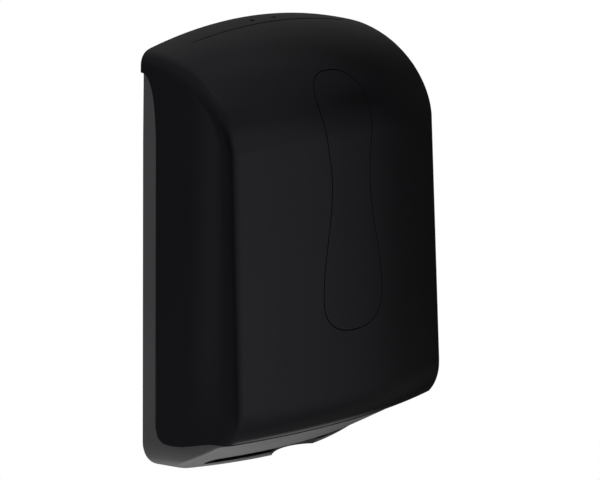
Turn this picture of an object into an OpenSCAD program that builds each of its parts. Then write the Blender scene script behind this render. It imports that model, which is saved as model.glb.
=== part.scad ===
// Wall-mounted dispenser for folded paper towels: a grey rear body with an open
// slot in its tray, and a gloss black front cover that tips forward on two pins.
// Millimetres. X to the right, Y into the wall, Z up. The wall plane is Y = 0 and
// the origin is the middle of the four wall-screw holes.

/* [Nodes] */
// Names of all sub-parts
// Sub-part to draw, or all of them

/* [Front cover] */
// Width of the cover, taken down to the tray floor
cover_w = 277.8; // [260:0.1:300]
// Width of the cover where its top starts to curve
cover_w_top = 268.2; // [255:0.1:290]
// Depth of the cover's middle, taken down to the tray floor
cover_d = 132; // [120:0.1:150]
// Depth of the cover's middle where its top starts to curve
cover_d_top = 120.7; // [110:0.1:140]
// How far the middle of the front stands out beyond its side edges
crown = 18.3; // [8:0.1:26]
// Fillet between side and front
edge_r = 12.4; // [8:0.1:20]
// Draft of a side over its whole depth
side_draft = 6.25; // [3:0.05:8]
// Wall thickness of the cover
cover_t = 2.5; // [2:0.1:3.5]
// Height of the curved top at its middle
top_h = 95.5; // [80:0.5:120]
// Rise of the top's arch from shoulder to middle
arch_rise = 18; // [10:0.5:26]
// Radius of the shoulder at the wall
shoulder_r = 15.2; // [8:0.1:22]
// Squareness of the curve from front to top
top_power = 1.87; // [1.6:0.01:2.4]
// Height where the top starts to curve
shoulder_z = 94.6; // [70:0.1:120]
// Height of the lower rim along the front
rim_front_z = -155.2; // [-160:0.1:-145]
// Height of the lower rim near the wall
rim_rear_z = -166; // [-172:0.5:-160]
// Width of the grey strip left bare between the wall and the cover
strip_w = 18.4; // [12:0.1:24]
// Radius of the cover's lower rear corner
corner_r = 13; // [10:0.5:15]
// How far the front turns in above its lower rim
tuck = 13.5; // [8:0.5:16]
// Height over which it turns in
tuck_h = 31; // [24:0.5:40]

/* [Sight window] */
// Height of the window's lower end
win_low_z = -70; // [-90:1:-50]
// Height of its lower bulge
win_bulge_z = -40; // [-48:1:-30]
// Height of its waist
win_waist_z = 60; // [30:1:80]
// Height of its upper bulge
win_head_z = 124; // [110:1:128]
// Height of its upper end
win_top_z = 152; // [142:1:160]
// Half width at the lower bulge
win_bulge_w = 36.3; // [28:0.1:44]
// Half width at the waist
win_waist_w = 23.2; // [16:0.1:28]
// Half width at the upper bulge
win_head_w = 29.8; // [22:0.1:36]
// Gap around the window
win_gap = 0.4; // [0.3:0.05:0.8]
// Width of the flange behind the cover's wall
win_flange = 6; // [5:0.5:9]
// Thickness of that flange
win_flange_t = 1.6; // [1.2:0.1:2.5]

/* [Rear body] */
// Height of the tray's underside
floor_z = -194; // [-200:0.5:-188]
// Wall thickness of the tray
tray_t = 2.5; // [2:0.1:3.5]
// Radius of the tray's lower side edges
keel_r = 25; // [15:0.5:32]
// Distance of the lip from the wall at the middle
lip_d = 52; // [46:0.5:60]
// How far the middle of the lip stands out beyond its ends
lip_crown = 26; // [18:0.5:32]
// Height of the tray's hidden flange above the rim
flange_h = 21; // [15:0.5:30]
// Thickness of the back plate
plate_t = 3; // [2.5:0.1:4]
// Depth of the frame walls inside the cover
frame_d = 42; // [30:1:50]
// Thickness of the frame walls
frame_t = 2.2; // [1.8:0.1:3]
// Running gap between the tray and the cover's inner face
cover_gap = 1; // [0.8:0.05:1.4]
// Extra gap between the tray and the cover's turned-in rim
rim_gap = 0.9; // [0.6:0.05:1.5]
// Half length of the towel slot
slot_hl = 100; // [90:1:106]
// Height of the towel slot
slot_h = 7; // [6:0.5:10]
// Height of the lip below the slot
lip_h = 3.8; // [3.2:0.1:5.5]
// Half width of the finger notch
notch_hw = 30; // [20:0.5:38]
// Depth of the finger notch
notch_d = 13; // [8:0.5:18]
// Spacing of the wall screws across
screw_dx = 190; // [160:1:210]
// Spacing of the wall screws up the wall
screw_dz = 200; // [160:1:230]
// Radius of a wall-screw hole
screw_r = 3; // [2.5:0.1:3.5]

/* [Hinge] */
// Radius of a hinge pin
pin_r = 2.5; // [2:0.1:3]
// Radial running clearance of a pin in its bush
pin_play = 0.05; // [0.02:0.01:0.1]
// Outer radius of a bush
bush_r = 4; // [3.8:0.1:5]

/* [Lock] */
// Half spacing of the two key holes
key_dx = 13.5; // [12.5:0.1:14]
// Distance of the key holes from the wall
key_y = 15; // [13:0.1:17]
// Radius of a key hole
key_r = 2.2; // [1.8:0.1:2.6]
// Travel of the lock slider when the key presses it
key_travel = 6; // [5.5:0.1:6.5]
// Wire radius of a lock spring
wire_r = 0.45; // [0.35:0.05:0.5]
// Coil radius of a lock spring
coil_r = 3.2; // [2.8:0.1:3.6]
// Turns of a lock spring
coil_n = 5; // [4:1:6]

/* [Hidden] */
$fn = 48;
cover_black = [0.03, 0.03, 0.035];
body_grey = [0.20, 0.20, 0.21];
steel = [0.62, 0.63, 0.65];
nylon = [0.86, 0.86, 0.84];
side_steps = 10;
edge_steps = 6;
front_steps = 9;
low_rows = 16;
top_rows = 14;
shoulder_draft = 2;
hinge_y = strip_w + corner_r;
hinge_z = rim_rear_z + corner_r;
rim_step_y = strip_w + corner_r + 5;
rim_end_y = cover_d - crown - tuck - 5;
tuck_r = (tuck_h * tuck_h + tuck * tuck) / (2 * tuck);
tuck_z = rim_front_z + tuck_h;
tray_o = cover_t + cover_gap;
frame_o = tray_o + 0.15;
plate_o = tray_o + 0.5;
tray_top_z = rim_front_z + flange_h;
hull_top_z = rim_front_z - 1.2;
slope_t = 2.1 * tray_t;
top_z = shoulder_z + top_h;

function mix(a, b, t) = a + (b - a) * t;
function clamp01(t) = min(1, max(0, t));
function smooth(t) = clamp01(t) * clamp01(t) * (3 - 2 * clamp01(t));
function unit(v) = v / norm(v);
// Share of the straight lower part that lies below a height
function low_t(z) = (z - floor_z) / (shoulder_z - floor_z);
// Half width and depth of the cover at a height
function cover_hw(z) = mix(cover_w, cover_w_top, low_t(z)) / 2;
function cover_dep(z) = mix(cover_d, cover_d_top, low_t(z));
// How far the front has turned in at a height: an arc down to the rim
function tuck_in(z) = let (h = min(tuck_h, max(0, tuck_z - z))) tuck_r - sqrt(tuck_r * tuck_r - h * h);

// Left half of a section, from the wall side to the middle, as [x, depth] points:
// a drafted side from depth r0, a fillet and a crowned front.
function edge_start(a, d, c, r, dr) =
    let (s = unit([dr, d - c]), f = unit([1, 2 * c / (a - dr)]), ang = acos(-(s * f)))
    [dr - a, d - c] - s * r / tan(ang / 2);
function edge_end_x(a, d, c, r, dr) =
    let (s = unit([dr, d - c]), f = unit([1, 2 * c / (a - dr)]), ang = acos(-(s * f)))
    dr - a + f[0] * r / tan(ang / 2);
function front_at(x, a, d, c, dr) = d - c * pow(x / (a - dr), 2);
function section(a, d, c, r, dr, r0) =
    let (p1 = edge_start(a, d, c, r, dr), x2 = edge_end_x(a, d, c, r, dr), k = [dr - a, d - c],
         p2 = [x2, front_at(x2, a, d, c, dr)], f0 = r0 / p1[1])
    concat(
        [for (i = [0 : side_steps]) let (f = mix(f0, 1, pow(i / side_steps, 1.7)))
            [mix(-a, p1[0], f), p1[1] * f]],
        [for (i = [1 : edge_steps]) let (t = i / edge_steps)
            (1 - t) * (1 - t) * p1 + 2 * t * (1 - t) * k + t * t * p2],
        [for (i = [1 : front_steps]) let (x = x2 * (1 - i / front_steps)) [x, front_at(x, a, d, c, dr)]]);
// A left half and its mirror image as one row
function both(h) = concat(h, [for (i = [len(h) - 2 : -1 : 0]) [-h[i][0], h[i][1], h[i][2]]]);

// Cover sections: offset o lies inside the outer face
function cover_section(z, o, r0) = let (d = cover_dep(z) - o, e = d - tuck_in(z))
    section(cover_hw(z) - o, e, crown, max(edge_r - o, 3), side_draft * (e - crown) / (d - crown), r0);
function top_section(o, r0) =
    section(cover_w_top / 2 - o, top_h - o, arch_rise, max(shoulder_r - o, 3), shoulder_draft, r0);
// Height of the cover's lower rim at a depth from the wall
function rim_z(y) = y < hinge_y
    ? hinge_z - sqrt(max(0, corner_r * corner_r - pow(hinge_y - max(y, strip_w), 2)))
    : mix(rim_rear_z, rim_front_z, smooth((y - rim_step_y) / (rim_end_y - rim_step_y)));
// Where the cover's rear edge lies on a side, as a share of the side's length
side_len = edge_start(cover_w_top / 2, cover_d_top, crown, edge_r, side_draft)[1];
rise_len = edge_start(cover_w_top / 2, top_h, arch_rise, shoulder_r, shoulder_draft)[1];
function rear_share(cb, sb) =
    pow(pow(side_len * cb / strip_w, 2.5) + pow(sb / 0.96, 2.5), -0.4);

// One face of the cover as rows of points: straight rows from the rim up, then rows
// that fan back from the front to the wall.
function cover_rows(o) = let (rim = cover_section(rim_front_z, o, strip_w))
    concat(
        [for (i = [0 : low_rows]) both([for (j = [0 : len(rim) - 1])
            let (z = mix(rim_z(rim[j][1]), shoulder_z, pow(i / low_rows, 2)),
                 p = cover_section(z, o, strip_w)[j])
            [p[0], -p[1], z]])],
        [for (k = [1 : top_rows])
            let (b = 90 * k / top_rows, cb = max(0.006, pow(cos(b), 2 / top_power)),
                 sb = pow(sin(b), 2 / top_power), e = rear_share(cb, sb),
                 hd = cover_section(shoulder_z, o, e * side_len), ht = top_section(o, e * rise_len))
            both([for (j = [0 : len(hd) - 1])
                [mix(hd[j][0], ht[j][0], sin(b) * sin(b)), -hd[j][1] * cb, shoulder_z + ht[j][1] * sb]])]);

// Faces of a grid of m rows by n points, starting at point number s
function grid_faces(m, n, s, turn) = [for (i = [0 : m - 2]) for (j = [0 : n - 2])
    let (a = s + i * n + j, b = a + 1, c = a + n + 1, d = a + n) each turn
        ? [[a, b, c], [a, c, d]] : [[a, c, b], [a, d, c]]];
// Faces that join two loops of points
function loop_faces(p, q, turn) = [for (i = [0 : len(p) - 1])
    let (k = (i + 1) % len(p)) each turn
        ? [[p[i], p[k], q[k]], [p[i], q[k], q[i]]] : [[p[i], q[k], p[k]], [p[i], q[i], q[k]]]];
// Numbers of the points around the border of a grid
function border(m, n, s) = concat(
    [for (j = [0 : n - 1]) s + j], [for (i = [1 : m - 1]) s + i * n + n - 1],
    [for (j = [n - 2 : -1 : 0]) s + (m - 1) * n + j], [for (i = [m - 2 : -1 : 1]) s + i * n]);
function flat(rows) = [for (r = rows) each r];

// Closed sheet between two grids of points with the same layout
module sheet(front, back) {
    m = len(front);
    n = len(front[0]);
    polyhedron(
        points = concat(flat(front), flat(back)),
        faces = concat(
            grid_faces(m, n, 0, false),
            grid_faces(m, n, m * n, true),
            loop_faces(border(m, n, 0), border(m, n, m * n), true)),
        convexity = 8);
}

// Closed loft through rings of points, lowest first
module loft(rings) {
    n = len(rings[0]);
    m = len(rings);
    polyhedron(
        points = flat(rings),
        faces = concat(
            [[for (j = [0 : n - 1]) j]],
            [for (i = [0 : m - 2]) each loop_faces(
                [for (j = [0 : n - 1]) i * n + j], [for (j = [0 : n - 1]) (i + 1) * n + j], false)],
            [[for (j = [n - 1 : -1 : 0]) (m - 1) * n + j]]),
        convexity = 8);
}

// Front face of the cover near its middle: depth at x and z, offset o inside it
function face_y(x, z, o) = let (
    zz = min(z, shoulder_z),
    d = front_at(x, cover_hw(zz) - o, cover_dep(zz) - o, crown, side_draft),
    h = front_at(x, cover_w_top / 2 - o, top_h - o, arch_rise, shoulder_draft))
    z <= shoulder_z ? d : d * pow(1 - pow((z - shoulder_z) / h, top_power), 1 / top_power);

// Half width of the window at a height, and its outline grown by g
function win_body(z) = z < win_waist_z
    ? mix(win_bulge_w, win_waist_w, smooth((z - win_bulge_z) / (win_waist_z - win_bulge_z)))
    : mix(win_waist_w, win_head_w, smooth((z - win_waist_z) / (win_head_z - win_waist_z)));
function win_cap(z) = z < win_bulge_z
    ? pow(max(0, 1 - pow((win_bulge_z - z) / (win_bulge_z - win_low_z), 2.4)), 1 / 2.4)
    : z > win_head_z
    ? pow(max(0, 1 - pow((z - win_head_z) / (win_top_z - win_head_z), 2.4)), 1 / 2.4) : 1;
win_steps = 36;
win_rows_z = [for (i = [0 : win_steps]) let (t = 0.5 - cos(180 * mix(0.02, 0.98, i / win_steps)) / 2)
    mix(win_low_z, win_top_z, t)];
function win_z(z, g) = z + g * (z < win_bulge_z ? -1 : z > win_head_z ? 1 : 0);
function win_w(z, g) = max(1, win_body(z) * win_cap(z) + g);
function win_grid(o, g) = [for (z = win_rows_z) [for (s = [-1 : 0.2 : 1])
    let (x = s * win_w(z, g), zz = win_z(z, g)) [x, -face_y(x, zz, o), zz]]];
module win_prism(g) {
    translate([0, -cover_d + 60, 0])
        rotate([90, 0, 0])
        linear_extrude(height = 100)
        polygon(concat(
            [for (z = win_rows_z) [win_w(z, g), win_z(z, g)]],
            [for (i = [win_steps : -1 : 0]) [-win_w(win_rows_z[i], g), win_z(win_rows_z[i], g)]]));
}

// Places of the rivets that hold the window's flange
rivet_z = [win_bulge_z, mix(win_bulge_z, win_waist_z, 0.6), mix(win_waist_z, win_head_z, 0.45)];
function rivet_x(z) = win_body(z) + win_flange / 2;
module at_rivets() {
    for (z = rivet_z)
        for (s = [-1, 1])
            translate([s * rivet_x(z), -face_y(rivet_x(z), z, cover_t), z])
            rotate([90, 0, 0])
            children();
}

// Half outline of the tray's section at a height, offset o inside its outer face
lip_z = floor_z + lip_h;
function tray_t01(z) = clamp01((z - lip_z) / (hull_top_z - lip_z));
function keel(z) = z > floor_z + keel_r ? 0
    : keel_r - sqrt(max(0, keel_r * keel_r - pow(floor_z + keel_r - z, 2)));
function tray_section(z, o, back) = let (
    t = tray_t01(z), top = max(z, hull_top_z), c = mix(lip_crown, crown, t),
    full = cover_dep(top) - tuck_in(top) * (1 + rim_gap / tuck) - tray_o,
    d = mix(lip_d, full, t) - (z < hull_top_z - 0.01 ? o * slope_t / tray_t : o),
    dr = side_draft * (d - c) / (cover_d - crown) + 5 * (1 - t),
    a = cover_hw(z) - tray_o - o - keel(z))
    section(a, d, c, max(edge_r - tray_o - o, 3), dr, back);
function tray_ring(z, o, back) = let (h = both([for (p = tray_section(z, o, back)) [p[0], -p[1], z]])) h;
tray_levels = concat(
    [for (t = [0, 0.25, 0.6]) mix(floor_z, lip_z, t)],
    [for (t = [0, 0.1, 0.22, 0.36, 0.52, 0.68, 0.84, 1]) mix(lip_z, hull_top_z, t)]);
flange_levels = [for (t = [0.2, 0.4, 0.6, 0.8]) mix(hull_top_z, tray_top_z, t)];
module tray_outer() {
    loft([for (z = concat(tray_levels, flange_levels, tray_top_z)) tray_ring(z, 0, 0.4)]);
}
module tray_inner() {
    back = plate_t + 0.2;
    loft(concat(
        [tray_ring(floor_z + tray_t, tray_t, back)],
        [for (t = [0, 0.1, 0.22, 0.36, 0.52, 0.68, 0.84])
            tray_ring(mix(lip_z, hull_top_z, t), tray_t, back)],
        [for (z = concat(hull_top_z + 2, flange_levels, tray_top_z + 2)) tray_ring(z, tray_t, back)]));
}

// Frame: side and top walls under the cover's rear part, at depth y and offset o
frame_z0 = tray_top_z - 5;
function frame_half(o, y) = let (
    ht = top_section(o, 1), hd = cover_section(shoulder_z, o, 1), lean = side_draft * y / (cover_d - crown))
    concat(
        [for (z = [frame_z0, shoulder_z]) [lean + o - cover_hw(z), -y, z]],
        [for (j = [side_steps : len(ht) - 1])
            let (cb = y / hd[j][1], sb = pow(1 - pow(cb, top_power), 1 / top_power),
                 x = mix(ht[j][0], hd[j][0], cb * cb))
            [x + (j == side_steps ? lean : 0), -y, shoulder_z + ht[j][1] * sb]]);
frame_ys = [frame_d, 2 * frame_d / 3, frame_d / 3, 0.4];
module frame() {
    sheet([for (y = frame_ys) both(frame_half(frame_o, y))],
          [for (y = frame_ys) both(frame_half(frame_o + frame_t, y))]);
}

// Back plate: the wall outline, round at the lower corners and arched at the top
function plate_outline() = let (
    h = concat(
        [for (z = [0 : 8]) let (zz = mix(floor_z, floor_z + keel_r, pow(z / 8, 2)))
            [plate_o + keel(zz) - cover_hw(zz), zz + 0.5 * (1 - z / 8)]],
        [for (p = frame_half(plate_o, 0)) [p[0], p[2]]]))
    concat(h, [for (i = [len(h) - 2 : -1 : 0]) [-h[i][0], h[i][1]]]);

// Lock sizes
keeper_y = key_y + 4.5;
keeper_z = top_z - 14.7;
plate_top_z = keeper_z - 4.9;
slider_z = plate_top_z - 5.5;
lock_hx = key_dx + 5.5;
lock_front = keeper_y + 8.5;
lock_floor = slider_z - key_travel - 8;
lock_back = plate_t + 0.05;
ear_x = lock_hx + 8;
ear_z = lock_floor + 9;
pad_r = key_r + 0.4;
pad_room = key_dx + pad_r + 0.5;

module rear_body() {
    color(body_grey) difference() {
        union() {
            difference() {
                tray_outer();
                tray_inner();
                // Towel slot with round ends, through the sloping front
                translate([0, -25, floor_z + lip_h + slot_h / 2])
                    rotate([90, 0, 0])
                    linear_extrude(height = 80)
                    union() {
                        square([2 * slot_hl - slot_h, slot_h], center = true);
                        for (s = [-1, 1])
                            translate([s * (slot_hl - slot_h / 2), 0])
                            circle(d = slot_h);
                    }
                // Finger notch in the lip
                notch_r = (notch_hw * notch_hw + notch_d * notch_d) / (2 * notch_d);
                translate([0, notch_d - lip_d - 2 - notch_r, floor_z - 5])
                    cylinder(h = 5 + lip_h + 1, r = notch_r, $fn = 96);
            }
            frame();
            rotate([90, 0, 0])
                linear_extrude(height = plate_t)
                polygon(plate_outline());
            // Ribs that hold the towels clear of the screw heads
            for (x = [-60, -20, 20, 60])
                translate([x - 1.5, -plate_t - 4, floor_z + 30])
                cube([3, 5, screw_dz + 70]);
            // Hinge bosses inside the tray
            for (s = [-1, 1])
                translate([s * (hinge_in + 3), -hinge_y, hinge_z])
                rotate([0, 90, 0])
                cylinder(h = 6, r = bush_r + 6.5, center = true);
        }
        for (s = [-1, 1]) {
            // Pocket for the cover's boss and seat of the bush
            translate([s * (hinge_in + 4.5 + 10), -hinge_y, hinge_z])
                rotate([0, 90, 0])
                cylinder(h = 20, r = bush_r + 4.7, center = true);
            translate([s * hinge_in, -hinge_y, hinge_z])
                rotate([0, 90, 0])
                cylinder(h = 30, r = bush_r, center = true);
            // Wall screws
            for (z = [-screw_dz / 2, screw_dz / 2])
                translate([s * screw_dx / 2, 1, z])
                rotate([90, 0, 0])
                cylinder(h = plate_t + 2, r = screw_r);
            // Lock screws
            translate([s * ear_x, -1, ear_z])
                rotate([90, 0, 0])
                cylinder(h = plate_t, r = 1.5);
        }
        // Room for the lock under the top
        translate([-ear_x - 8, -frame_d - 5, lock_floor - 4])
            cube([2 * ear_x + 16, frame_d + 4.5 - plate_t, 60]);
    }
}

// Inner end of the hinge bosses on the tray
hinge_in = cover_hw(hinge_z) - side_draft * hinge_y / (cover_d - crown) - 10;

module hinge_bush(s) {
    translate([s * (hinge_in + 2.25), -hinge_y, hinge_z])
        rotate([0, 90, 0])
        difference() {
            cylinder(h = 4.5, r = bush_r, center = true);
            cylinder(h = 10, r = pin_r + pin_play, center = true);
        }
}
module hinge_bush_left() {
    color(nylon) hinge_bush(-1);
}
module hinge_bush_right() {
    color(nylon) hinge_bush(1);
}

module hinge_pin(s) {
    translate([s * (hinge_in + 4.55), -hinge_y, hinge_z])
        rotate([0, 90, 0])
        cylinder(h = 8.5, r = pin_r, center = true);
}
module hinge_pin_left() {
    color(steel) hinge_pin(-1);
}
module hinge_pin_right() {
    color(steel) hinge_pin(1);
}

module front_cover() {
    color(cover_black) difference() {
        union() {
            sheet(cover_rows(0), cover_rows(cover_t));
            // Hinge bosses
            for (s = [-1, 1])
                translate([s * (hinge_in + 6.7), -hinge_y, hinge_z])
                rotate([0, 90, 0])
                cylinder(h = 3.2, r = bush_r + 4, center = true);
            // Rib for the lock
            translate([-8, -keeper_y - 2, keeper_z + 1.1])
                cube([16, 2, 9.4]);
        }
        win_prism(win_gap);
        for (s = [-1, 1]) {
            translate([s * (hinge_in + 6.8), -hinge_y, hinge_z])
                rotate([0, 90, 0])
                cylinder(h = 4, r = pin_r, center = true);
            translate([s * key_dx, -key_y, top_z - 15])
                cylinder(h = 25, r = key_r);
        }
        at_rivets()
            cylinder(h = 3, r = 1.5, center = true);
    }
}

module sight_window() {
    color(cover_black) difference() {
        union() {
            sheet(win_grid(0, 0), win_grid(cover_t + 0.6, 0));
            sheet(win_grid(cover_t + 0.3, win_flange), win_grid(cover_t + 0.3 + win_flange_t, win_flange));
        }
        at_rivets()
            cylinder(h = 12, r = 1.6, center = true);
    }
}

module window_rivets() {
    color(cover_black) at_rivets() union() {
        translate([0, 0, -win_flange_t - 2.1])
            cylinder(h = 1.4, r = 2.8);
        translate([0, 0, -win_flange_t - 1.5])
            cylinder(h = win_flange_t + 2.9, r = 1.5);
    }
}

module lock_keeper() {
    // Folded steel clip over the cover's rib
    color(steel) difference() {
        translate([-7.5, -keeper_y - 3.05, keeper_z])
            cube([15, 4.1, 7]);
        translate([-10, -keeper_y - 2.05, keeper_z + 1.05])
            cube([20, 2.1, 10]);
    }
}

module lock_housing() {
    color(body_grey) difference() {
        union() {
            translate([-lock_hx - 3, -lock_front - 3, lock_floor - 3])
                cube([2 * lock_hx + 6, lock_front + 3 - lock_back, plate_top_z + 5.4 - lock_floor]);
            translate([-ear_x - 5, -lock_back - 3, ear_z - 7])
                cube([2 * ear_x + 10, 3, 14]);
        }
        translate([-lock_hx - 0.4, -lock_front - 0.4, lock_floor])
            cube([2 * lock_hx + 0.8, lock_front - lock_back - 3, plate_top_z + 0.4 - lock_floor]);
        translate([-pad_room, -lock_front - 0.4, lock_floor])
            cube([2 * pad_room, lock_front - lock_back - 3, 60]);
        for (s = [-1, 1])
            translate([s * ear_x, 0, ear_z])
            rotate([90, 0, 0])
            cylinder(h = 20, r = 1.75);
    }
}

module lock_screws() {
    color(steel) for (s = [-1, 1])
        translate([s * ear_x, -lock_back - 3.05, ear_z])
        rotate([-90, 0, 0])
        difference() {
            union() {
                cylinder(h = plate_t + 2, r = 1.5);
                translate([0, 0, -1.8])
                    cylinder(h = 1.8, r = 2.8);
            }
            for (a = [0, 90])
                rotate([0, 0, a])
                translate([-1.6, -0.4, -2.8])
                cube([3.2, 0.8, 2]);
        }
}

module lock_slider() {
    color(nylon) union() {
        translate([-lock_hx, -lock_front, slider_z])
            cube([2 * lock_hx, lock_front - lock_back - 3.8, plate_top_z - slider_z]);
        // Tooth in front of the keeper, sloped for closing
        translate([8, 0, 0])
            rotate([0, -90, 0])
            linear_extrude(height = 16)
            polygon([[plate_top_z - 1, -lock_front], [plate_top_z + 3, -lock_front],
                [plate_top_z + 10, -keeper_y - 5], [plate_top_z + 10, -keeper_y - 3.5],
                [plate_top_z - 1, -keeper_y - 3.5]]);
        // Pads under the key holes
        for (s = [-1, 1])
            translate([s * key_dx, -key_y, plate_top_z - 1])
            cylinder(h = 13, r = pad_r);
    }
}

// Lock spring: one helix with its ends closed up flat
function coil_z(t) = let (u = t / coil_n, h = slider_z - lock_floor - 2 * wire_r - 0.2)
    lock_floor + 0.1 + wire_r + h * u;
coil_turn = 14;
coil_pts = coil_n * coil_turn;
coil_gap = (slider_z - lock_floor - 2 * wire_r - 0.2) / coil_n - 2 * wire_r;
echo(lock_spring_gap_mm = coil_gap);
module lock_spring(s) {
    rings = [for (i = [0 : coil_pts]) let (t = i / coil_turn, a = 360 * t)
        [for (k = [0 : 5]) let (b = 60 * k, r = coil_r + wire_r * cos(b))
            [s * key_dx + r * cos(a), -key_y + r * sin(a), coil_z(t) + wire_r * sin(b)]]];
    n = 6;
    m = len(rings);
    polyhedron(
        points = flat(rings),
        faces = concat(
            [[for (j = [n - 1 : -1 : 0]) j]],
            [for (i = [0 : m - 2]) each loop_faces(
                [for (j = [0 : n - 1]) i * n + j], [for (j = [0 : n - 1]) (i + 1) * n + j], true)],
            [[for (j = [0 : n - 1]) (m - 1) * n + j]]),
        convexity = 8);
}
module lock_spring_left() {
    color(steel) lock_spring(-1);
}
module lock_spring_right() {
    color(steel) lock_spring(1);
}

rear_body();
lock_housing();
lock_screws();
lock_slider();
lock_spring_left();
lock_spring_right();
front_cover();
sight_window();
window_rivets();
lock_keeper();
hinge_pin_left();
hinge_pin_right();
hinge_bush_left();
hinge_bush_right();
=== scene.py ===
"""Looks of a wall-mounted dispenser for folded towels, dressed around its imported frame.

Forms are worked out in millimetres, in the frame of the part: X to the right, Y into the
wall, Z up, with the wall at Y = 0. Meshes are made in metres.
"""
import logging
from dataclasses import dataclass
from enum import Enum

import bmesh
import bpy
import numpy as np
from mathutils import Matrix
from numpy import array, clip, column_stack, concatenate, cos, linspace, pi, radians, sin, stack


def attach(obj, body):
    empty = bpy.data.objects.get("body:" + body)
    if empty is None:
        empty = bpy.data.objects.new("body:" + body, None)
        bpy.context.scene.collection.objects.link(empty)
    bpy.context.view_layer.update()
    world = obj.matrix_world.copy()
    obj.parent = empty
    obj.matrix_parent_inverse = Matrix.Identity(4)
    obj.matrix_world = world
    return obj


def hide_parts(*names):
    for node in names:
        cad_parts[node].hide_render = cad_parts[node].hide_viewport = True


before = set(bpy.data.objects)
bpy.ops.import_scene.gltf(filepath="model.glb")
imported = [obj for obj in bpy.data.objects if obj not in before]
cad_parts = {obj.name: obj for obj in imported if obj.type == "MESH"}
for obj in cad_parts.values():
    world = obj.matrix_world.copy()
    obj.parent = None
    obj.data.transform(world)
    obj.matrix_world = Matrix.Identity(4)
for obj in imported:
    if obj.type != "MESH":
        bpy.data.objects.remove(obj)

log = logging.getLogger("dispenser")

MM = 0.001
WELD_DIGITS = 4
WELD_MM = 0.01
CUT_ANGLE = 50.0
CUT_STEPS = 2
ROUND_STEPS = 5
END_STEPS = 4
SOLVE_ROUNDS = 14
SOLVE_STEP = 1e-5
SOLVE_REACH = 0.1
TINY = 1e-12
FRONT_END, EDGE_END = 0.56, 0.70
SIDES = (-1, 1)
PATCH_SPAN = (0.3, 0.7)
WHITE = (1.0, 1.0, 1.0, 1.0)
VIOLET_CAST = (0.90, 0.885, 1.0)

Array = np.ndarray
Arrays = tuple[Array, ...]
Ints = tuple[int, ...]
Floats = tuple[float, ...]
Triple = tuple[float, float, float]
Piece = bpy.types.Object
Socket = bpy.types.NodeSocket
Tree = bpy.types.NodeTree


class Body(Enum):
    """CAD bodies that new pieces ride on."""

    REAR = "rear"
    COVER = "cover"


class Slot(Enum):
    """Material slots of the record."""

    BODY = "body_plastic"
    LOCK = "lock_plastic"
    STEEL = "steel"
    SPRING = "spring_steel"
    NYLON = "nylon"
    COVER = "cover_plastic"
    WINDOW = "window_plastic"
    RIVET = "rivet_plastic"


# Number work


def mix(a: Array, b: Array, t: Array) -> Array:
    """Straight blend from a to b."""
    return a + (b - a) * t


def smooth(t: Array) -> Array:
    """Smooth step 3 t^2 - 2 t^3 of t held between 0 and 1."""
    t = clip(t, 0.0, 1.0)
    return t * t * (3.0 - 2.0 * t)


def unit(v: Array) -> Array:
    """Vectors scaled to length one."""
    return v / np.maximum(np.linalg.norm(v, axis=-1, keepdims=True), TINY)


def around(loop: Array) -> Array:
    """Unit tangents of a closed loop, by central differences."""
    return unit(np.roll(loop, -1, axis=0) - np.roll(loop, 1, axis=0))


def lengths(points: Array) -> Array:
    """Running length along a row of points, starting at zero."""
    steps = np.linalg.norm(np.diff(points, axis=0), axis=1)
    return concatenate([[0.0], np.cumsum(steps)])


def quarter(count: int = ROUND_STEPS) -> Arrays:
    """Quarter of a circle as (sine, one minus cosine)."""
    turn = linspace(0.0, pi / 2, count)
    return sin(turn), 1.0 - cos(turn)


def rows(stops: Floats, counts: Ints) -> Array:
    """Even steps through a row of stops, with a count of steps from each stop to the next."""
    legs = [linspace(a, b, n + 1)[1:] for a, b, n in zip(stops, stops[1:], counts)]
    return concatenate([[stops[0]], *legs])


def shares(count: int, power: float = 1.0) -> Array:
    """Shares from 0 to 1, one for each of a row of loops."""
    return (linspace(0, 1, count) ** power)[:, None, None]


def spread(*parts: Array) -> Array:
    """Points from coordinates of different layouts."""
    return stack(np.broadcast_arrays(*parts), axis=-1)


def section(a: Array, d: Array, c: float, r: float, dr: Array, start: Array,
            q: Array) -> Arrays:
    """Half of a moulded section: a crowned front, a rounded corner and a drafted side.

    With w = a - dr the front is depth d - c (x / w)^2. The side is the line from (-a, 0) to
    (-w, d - c). A quadratic curve joins them, tangent to both.

    Args:
        a: Half width at the wall.
        d: Depth at the middle.
        c: Crown of the front.
        r: Radius of the corner.
        dr: Draft of the side over its depth.
        start: Depth at which the side starts.
        q: Stations, 0 at the middle and 1 at the side's rear end.

    Returns:
        x, not above zero, and depth from the wall.
    """
    w, run = a - dr, d - c
    side, lean = np.hypot(dr, run), 2 * c / w
    front = np.hypot(1.0, lean)
    corner = np.arccos(-(dr + run * lean) / (side * front))
    cut = r / np.tan(corner / 2)
    x1, y1 = -w - dr / side * cut, run - run / side * cut
    x2 = -w + cut / front
    y2, slope = d - c * (x2 / w) ** 2, -2 * c * x2 / w**2
    knot = (y2 - slope * (w + x2) - run) / (run - slope * dr)
    kx, ky = -w + knot * dr, run + knot * run
    x = x2 * clip(q / FRONT_END, 0, 1)
    y = d - c * (x / w) ** 2
    t = clip((EDGE_END - q) / (EDGE_END - FRONT_END), 0, 1)
    ex = (1 - t) ** 2 * x1 + 2 * t * (1 - t) * kx + t * t * x2
    ey = (1 - t) ** 2 * y1 + 2 * t * (1 - t) * ky + t * t * y2
    f = mix(1.0, start / y1, clip((q - EDGE_END) / (1 - EDGE_END), 0, 1))
    sx, sy = mix(-a, x1, f), y1 * f
    return (np.where(q <= FRONT_END, x, np.where(q <= EDGE_END, ex, sx)),
            np.where(q <= FRONT_END, y, np.where(q <= EDGE_END, ey, sy)))


# Meshes


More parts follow.
